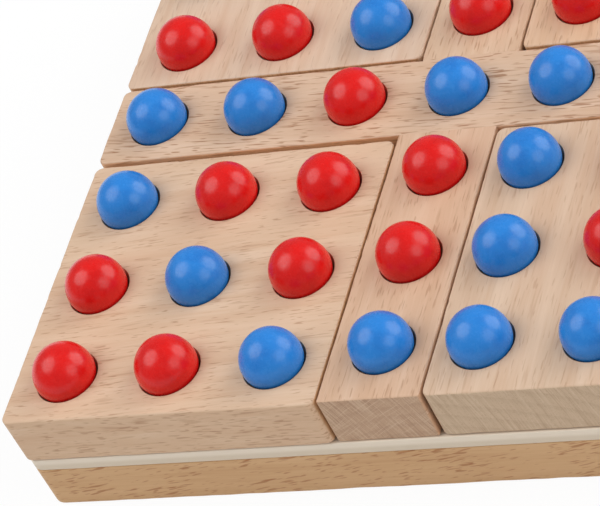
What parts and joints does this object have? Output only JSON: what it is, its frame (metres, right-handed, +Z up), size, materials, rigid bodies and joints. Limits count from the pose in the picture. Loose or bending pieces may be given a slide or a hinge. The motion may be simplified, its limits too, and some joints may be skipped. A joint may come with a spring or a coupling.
{
  "type": "rotating gomoku board",
  "caption": "Square wooden game board: a fixed cross and corner blocks that turn, with painted balls in round sockets.",
  "frame": {"origin": "on the surface that the board stands on, under the middle of the fixed cross", "axes": "+Z up, +X to the right along the long bar, +Y from the front edge to the rear edge"},
  "size_m": [0.2006, 0.2009, 0.0424],
  "materials": {
    "base_wood": "planed, oiled beech-like wood",
    "cross_wood": "planed bare beech",
    "block_wood": "planed bare beech",
    "cream_sheet": "smooth satin",
    "dowel_wood": "turned beech",
    "red_paint": "satin gloss paint on wood",
    "blue_paint": "satin gloss paint on wood"
  },
  "bodies": {
    "board": {"base_plate": "base_wood", "slide_sheet": "cream_sheet", "centre_bar": "cross_wood", "front_arm": "cross_wood", "rear_arm": "cross_wood"},
    "front_left_dowel": {"front_left_dowel": "dowel_wood"},
    "front_left_block": {"front_left_block": "block_wood"},
    "front_right_dowel": {"front_right_dowel": "dowel_wood"},
    "front_right_block": {"front_right_block": "block_wood"},
    "rear_left_dowel": {"rear_left_dowel": "dowel_wood"},
    "rear_left_block": {"rear_left_block": "block_wood"},
    "rear_right_dowel": {"rear_right_dowel": "dowel_wood"},
    "rear_right_block": {"rear_right_block": "block_wood"},
    "red_ball_r1c1": {"red_ball_r1c1": "red_paint"},
    "red_ball_r1c2": {"red_ball_r1c2": "red_paint"},
    "blue_ball_r1c3": {"blue_ball_r1c3": "blue_paint"},
    "blue_ball_r1c4": {"blue_ball_r1c4": "blue_paint"},
    "blue_ball_r1c5": {"blue_ball_r1c5": "blue_paint"},
    "blue_ball_r1c6": {"blue_ball_r1c6": "blue_paint"},
    "red_ball_r1c7": {"red_ball_r1c7": "red_paint"},
    "red_ball_r2c1": {"red_ball_r2c1": "red_paint"},
    "blue_ball_r2c2": {"blue_ball_r2c2": "blue_paint"},
    "red_ball_r2c3": {"red_ball_r2c3": "red_paint"},
    "red_ball_r2c4": {"red_ball_r2c4": "red_paint"},
    "blue_ball_r2c5": {"blue_ball_r2c5": "blue_paint"},
    "red_ball_r2c6": {"red_ball_r2c6": "red_paint"},
    "blue_ball_r2c7": {"blue_ball_r2c7": "blue_paint"},
    "blue_ball_r3c1": {"blue_ball_r3c1": "blue_paint"},
    "red_ball_r3c2": {"red_ball_r3c2": "red_paint"},
    "red_ball_r3c3": {"red_ball_r3c3": "red_paint"},
    "red_ball_r3c4": {"red_ball_r3c4": "red_paint"},
    "blue_ball_r3c5": {"blue_ball_r3c5": "blue_paint"},
    "red_ball_r3c6": {"red_ball_r3c6": "red_paint"},
    "blue_ball_r3c7": {"blue_ball_r3c7": "blue_paint"},
    "blue_ball_r4c1": {"blue_ball_r4c1": "blue_paint"},
    "blue_ball_r4c2": {"blue_ball_r4c2": "blue_paint"},
    "red_ball_r4c3": {"red_ball_r4c3": "red_paint"},
    "blue_ball_r4c4": {"blue_ball_r4c4": "blue_paint"},
    "blue_ball_r4c5": {"blue_ball_r4c5": "blue_paint"},
    "red_ball_r4c6": {"red_ball_r4c6": "red_paint"},
    "red_ball_r5c1": {"red_ball_r5c1": "red_paint"},
    "red_ball_r5c2": {"red_ball_r5c2": "red_paint"},
    "blue_ball_r5c3": {"blue_ball_r5c3": "blue_paint"},
    "red_ball_r5c4": {"red_ball_r5c4": "red_paint"},
    "red_ball_r5c5": {"red_ball_r5c5": "red_paint"},
    "blue_ball_r5c6": {"blue_ball_r5c6": "blue_paint"},
    "blue_ball_r6c1": {"blue_ball_r6c1": "blue_paint"},
    "red_ball_r6c2": {"red_ball_r6c2": "red_paint"},
    "blue_ball_r6c3": {"blue_ball_r6c3": "blue_paint"},
    "blue_ball_r6c4": {"blue_ball_r6c4": "blue_paint"},
    "red_ball_r6c5": {"red_ball_r6c5": "red_paint"},
    "blue_ball_r6c6": {"blue_ball_r6c6": "blue_paint"},
    "red_ball_r6c7": {"red_ball_r6c7": "red_paint"},
    "red_ball_r7c1": {"red_ball_r7c1": "red_paint"},
    "blue_ball_r7c2": {"blue_ball_r7c2": "blue_paint"},
    "blue_ball_r7c3": {"blue_ball_r7c3": "blue_paint"},
    "red_ball_r7c4": {"red_ball_r7c4": "red_paint"},
    "blue_ball_r7c5": {"blue_ball_r7c5": "blue_paint"},
    "red_ball_r7c6": {"red_ball_r7c6": "red_paint"},
    "red_ball_r7c7": {"red_ball_r7c7": "red_paint"}
  },
  "joints": [
    {"name": "front_left_turn", "type": "hinge", "parent": "board", "child": "front_left_dowel", "pos_m": [-0.0085, -0.0085, 0.0175], "axis": [0, 0, -1], "range_deg": [0, 90]},
    {"name": "front_right_turn", "type": "hinge", "parent": "board", "child": "front_right_dowel", "pos_m": [0.0085, -0.0085, 0.0175], "axis": [0, 0, -1], "range_deg": [0, 90]},
    {"name": "rear_left_turn", "type": "hinge", "parent": "board", "child": "rear_left_dowel", "pos_m": [-0.0085, 0.0085, 0.0175], "axis": [0, 0, -1], "range_deg": [0, 90]},
    {"name": "rear_right_turn", "type": "hinge", "parent": "board", "child": "rear_right_dowel", "pos_m": [0.0085, 0.0085, 0.0175], "axis": [0, 0, -1], "range_deg": [0, 90]},
    {"name": "front_left_block_spin", "type": "hinge", "parent": "front_left_dowel", "child": "front_left_block", "pos_m": [-0.0085, -0.05765, 0.0175], "axis": [0, 0, 1], "range_deg": [0, 180]},
    {"name": "front_right_block_spin", "type": "hinge", "parent": "front_right_dowel", "child": "front_right_block", "pos_m": [0.057, -0.0085, 0.0175], "axis": [0, 0, 1], "range_deg": [0, 180]},
    {"name": "rear_left_block_spin", "type": "hinge", "parent": "rear_left_dowel", "child": "rear_left_block", "pos_m": [-0.057, 0.0085, 0.0175], "axis": [0, 0, 1], "range_deg": [0, 180]},
    {"name": "rear_right_block_spin", "type": "hinge", "parent": "rear_right_dowel", "child": "rear_right_block", "pos_m": [0.0085, 0.057, 0.0175], "axis": [0, 0, 1], "range_deg": [0, 180]},
    {"name": "red_ball_r1c1_lift", "type": "slide", "parent": "front_left_block", "child": "red_ball_r1c1", "axis": [0, 0, 1], "range_m": [0, 0.012]},
    {"name": "red_ball_r1c2_lift", "type": "slide", "parent": "front_left_block", "child": "red_ball_r1c2", "axis": [0, 0, 1], "range_m": [0, 0.012]},
    {"name": "blue_ball_r1c3_lift", "type": "slide", "parent": "front_left_block", "child": "blue_ball_r1c3", "axis": [0, 0, 1], "range_m": [0, 0.012]},
    {"name": "blue_ball_r1c4_lift", "type": "slide", "parent": "board", "child": "blue_ball_r1c4", "axis": [0, 0, 1], "range_m": [0, 0.012]},
    {"name": "blue_ball_r1c5_lift", "type": "slide", "parent": "front_right_block", "child": "blue_ball_r1c5", "axis": [0, 0, 1], "range_m": [0, 0.012]},
    {"name": "blue_ball_r1c6_lift", "type": "slide", "parent": "front_right_block", "child": "blue_ball_r1c6", "axis": [0, 0, 1], "range_m": [0, 0.012]},
    {"name": "red_ball_r1c7_lift", "type": "slide", "parent": "front_right_block", "child": "red_ball_r1c7", "axis": [0, 0, 1], "range_m": [0, 0.012]},
    {"name": "red_ball_r2c1_lift", "type": "slide", "parent": "front_left_block", "child": "red_ball_r2c1", "axis": [0, 0, 1], "range_m": [0, 0.012]},
    {"name": "blue_ball_r2c2_lift", "type": "slide", "parent": "front_left_block", "child": "blue_ball_r2c2", "axis": [0, 0, 1], "range_m": [0, 0.012]},
    {"name": "red_ball_r2c3_lift", "type": "slide", "parent": "front_left_block", "child": "red_ball_r2c3", "axis": [0, 0, 1], "range_m": [0, 0.012]},
    {"name": "red_ball_r2c4_lift", "type": "slide", "parent": "board", "child": "red_ball_r2c4", "axis": [0, 0, 1], "range_m": [0, 0.012]},
    {"name": "blue_ball_r2c5_lift", "type": "slide", "parent": "front_right_block", "child": "blue_ball_r2c5", "axis": [0, 0, 1], "range_m": [0, 0.012]},
    {"name": "red_ball_r2c6_lift", "type": "slide", "parent": "front_right_block", "child": "red_ball_r2c6", "axis": [0, 0, 1], "range_m": [0, 0.012]},
    {"name": "blue_ball_r2c7_lift", "type": "slide", "parent": "front_right_block", "child": "blue_ball_r2c7", "axis": [0, 0, 1], "range_m": [0, 0.012]},
    {"name": "blue_ball_r3c1_lift", "type": "slide", "parent": "front_left_block", "child": "blue_ball_r3c1", "axis": [0, 0, 1], "range_m": [0, 0.012]},
    {"name": "red_ball_r3c2_lift", "type": "slide", "parent": "front_left_block", "child": "red_ball_r3c2", "axis": [0, 0, 1], "range_m": [0, 0.012]},
    {"name": "red_ball_r3c3_lift", "type": "slide", "parent": "front_left_block", "child": "red_ball_r3c3", "axis": [0, 0, 1], "range_m": [0, 0.012]},
    {"name": "red_ball_r3c4_lift", "type": "slide", "parent": "board", "child": "red_ball_r3c4", "axis": [0, 0, 1], "range_m": [0, 0.012]},
    {"name": "blue_ball_r3c5_lift", "type": "slide", "parent": "front_right_block", "child": "blue_ball_r3c5", "axis": [0, 0, 1], "range_m": [0, 0.012]},
    {"name": "red_ball_r3c6_lift", "type": "slide", "parent": "front_right_block", "child": "red_ball_r3c6", "axis": [0, 0, 1], "range_m": [0, 0.012]},
    {"name": "blue_ball_r3c7_lift", "type": "slide", "parent": "front_right_block", "child": "blue_ball_r3c7", "axis": [0, 0, 1], "range_m": [0, 0.012]},
    {"name": "blue_ball_r4c1_lift", "type": "slide", "parent": "board", "child": "blue_ball_r4c1", "axis": [0, 0, 1], "range_m": [0, 0.012]},
    {"name": "blue_ball_r4c2_lift", "type": "slide", "parent": "board", "child": "blue_ball_r4c2", "axis": [0, 0, 1], "range_m": [0, 0.012]},
    {"name": "red_ball_r4c3_lift", "type": "slide", "parent": "board", "child": "red_ball_r4c3", "axis": [0, 0, 1], "range_m": [0, 0.012]},
    {"name": "blue_ball_r4c4_lift", "type": "slide", "parent": "board", "child": "blue_ball_r4c4", "axis": [0, 0, 1], "range_m": [0, 0.012]},
    {"name": "blue_ball_r4c5_lift", "type": "slide", "parent": "board", "child": "blue_ball_r4c5", "axis": [0, 0, 1], "range_m": [0, 0.012]},
    {"name": "red_ball_r4c6_lift", "type": "slide", "parent": "board", "child": "red_ball_r4c6", "axis": [0, 0, 1], "range_m": [0, 0.012]},
    {"name": "red_ball_r5c1_lift", "type": "slide", "parent": "rear_left_block", "child": "red_ball_r5c1", "axis": [0, 0, 1], "range_m": [0, 0.012]},
    {"name": "red_ball_r5c2_lift", "type": "slide", "parent": "rear_left_block", "child": "red_ball_r5c2", "axis": [0, 0, 1], "range_m": [0, 0.012]},
    {"name": "blue_ball_r5c3_lift", "type": "slide", "parent": "rear_left_block", "child": "blue_ball_r5c3", "axis": [0, 0, 1], "range_m": [0, 0.012]},
    {"name": "red_ball_r5c4_lift", "type": "slide", "parent": "board", "child": "red_ball_r5c4", "axis": [0, 0, 1], "range_m": [0, 0.012]},
    {"name": "red_ball_r5c5_lift", "type": "slide", "parent": "rear_right_block", "child": "red_ball_r5c5", "axis": [0, 0, 1], "range_m": [0, 0.012]},
    {"name": "blue_ball_r5c6_lift", "type": "slide", "parent": "rear_right_block", "child": "blue_ball_r5c6", "axis": [0, 0, 1], "range_m": [0, 0.012]},
    {"name": "blue_ball_r6c1_lift", "type": "slide", "parent": "rear_left_block", "child": "blue_ball_r6c1", "axis": [0, 0, 1], "range_m": [0, 0.012]},
    {"name": "red_ball_r6c2_lift", "type": "slide", "parent": "rear_left_block", "child": "red_ball_r6c2", "axis": [0, 0, 1], "range_m": [0, 0.012]},
    {"name": "blue_ball_r6c3_lift", "type": "slide", "parent": "rear_left_block", "child": "blue_ball_r6c3", "axis": [0, 0, 1], "range_m": [0, 0.012]},
    {"name": "blue_ball_r6c4_lift", "type": "slide", "parent": "board", "child": "blue_ball_r6c4", "axis": [0, 0, 1], "range_m": [0, 0.012]},
    {"name": "red_ball_r6c5_lift", "type": "slide", "parent": "rear_right_block", "child": "red_ball_r6c5", "axis": [0, 0, 1], "range_m": [0, 0.012]},
    {"name": "blue_ball_r6c6_lift", "type": "slide", "parent": "rear_right_block", "child": "blue_ball_r6c6", "axis": [0, 0, 1], "range_m": [0, 0.012]},
    {"name": "red_ball_r6c7_lift", "type": "slide", "parent": "rear_right_block", "child": "red_ball_r6c7", "axis": [0, 0, 1], "range_m": [0, 0.012]},
    {"name": "red_ball_r7c1_lift", "type": "slide", "parent": "rear_left_block", "child": "red_ball_r7c1", "axis": [0, 0, 1], "range_m": [0, 0.012]},
    {"name": "blue_ball_r7c2_lift", "type": "slide", "parent": "rear_left_block", "child": "blue_ball_r7c2", "axis": [0, 0, 1], "range_m": [0, 0.012]},
    {"name": "blue_ball_r7c3_lift", "type": "slide", "parent": "rear_left_block", "child": "blue_ball_r7c3", "axis": [0, 0, 1], "range_m": [0, 0.012]},
    {"name": "red_ball_r7c4_lift", "type": "slide", "parent": "board", "child": "red_ball_r7c4", "axis": [0, 0, 1], "range_m": [0, 0.012]},
    {"name": "blue_ball_r7c5_lift", "type": "slide", "parent": "rear_right_block", "child": "blue_ball_r7c5", "axis": [0, 0, 1], "range_m": [0, 0.012]},
    {"name": "red_ball_r7c6_lift", "type": "slide", "parent": "rear_right_block", "child": "red_ball_r7c6", "axis": [0, 0, 1], "range_m": [0, 0.012]},
    {"name": "red_ball_r7c7_lift", "type": "slide", "parent": "rear_right_block", "child": "red_ball_r7c7", "axis": [0, 0, 1], "range_m": [0, 0.012]}
  ],
  "couplings": [
    {"joint": "front_left_block_spin", "follows": "front_left_turn", "ratio": 2},
    {"joint": "front_right_block_spin", "follows": "front_right_turn", "ratio": 2},
    {"joint": "rear_left_block_spin", "follows": "rear_left_turn", "ratio": 2},
    {"joint": "rear_right_block_spin", "follows": "rear_right_turn", "ratio": 2}
  ]
}
